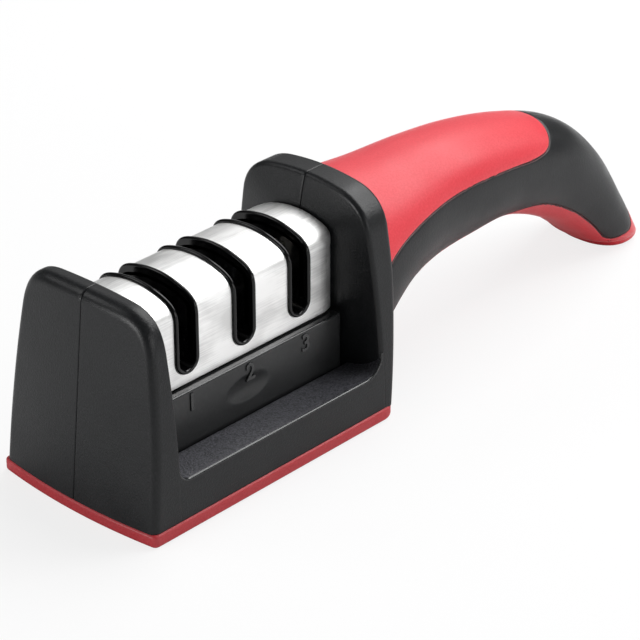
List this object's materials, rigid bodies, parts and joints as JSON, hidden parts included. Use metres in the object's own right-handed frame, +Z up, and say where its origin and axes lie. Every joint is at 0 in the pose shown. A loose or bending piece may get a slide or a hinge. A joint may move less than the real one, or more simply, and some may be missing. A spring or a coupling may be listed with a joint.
{
  "type": "knife sharpener",
  "caption": "Hand-held pull-through knife sharpener: a boxy head with a lift-out slotted cartridge under a steel arch, and a curved soft-grip handle resting on a tail foot.",
  "frame": {"origin": "middle of the overall length and width, on the table that the base stands on", "axes": "+X from the head to the handle's tail, +Y towards the side with the screws, +Z up"},
  "size_m": [0.195, 0.049, 0.0563],
  "materials": {
    "black_abs": "fine spark-eroded texture, semi-matt",
    "gloss_black_abs": "polished mould, glossy",
    "grey_abs": "plain moulded inside faces",
    "red_rubber": "soft-touch thermoplastic rubber, satin",
    "coral_rubber": "soft-touch thermoplastic rubber, satin",
    "cover_steel": "finely brushed stainless sheet",
    "screw_steel": "zinc-plated steel",
    "carbide": "ground tungsten carbide",
    "diamond_steel": "steel rod coated with diamond grit",
    "ceramic": null
  },
  "bodies": {
    "housing": {"housing_left": "black_abs", "housing_right": "black_abs", "floor_plate": "grey_abs", "base_pad": "red_rubber", "top_grip": "coral_rubber", "under_grip": "red_rubber", "tail_foot": "red_rubber", "housing_screws": "screw_steel", "base_screws": "screw_steel"},
    "cartridge": {"cartridge_frame": "black_abs", "cartridge_floor": "grey_abs", "guide_block": "gloss_black_abs", "steel_cover": "cover_steel", "carbide_holder": "grey_abs", "carbide_blade_front": "carbide", "carbide_blade_rear": "carbide", "carbide_screws": "screw_steel", "diamond_holder": "grey_abs", "diamond_rod_front": "diamond_steel", "diamond_rod_rear": "diamond_steel", "ceramic_holder": "grey_abs", "ceramic_rod_front": "ceramic", "ceramic_rod_rear": "ceramic", "cartridge_screws": "screw_steel"}
  },
  "joints": [
    {"name": "cartridge_lift", "type": "slide", "parent": "housing", "child": "cartridge", "axis": [0, 0, 1], "range_m": [0, 0.04]}
  ]
}
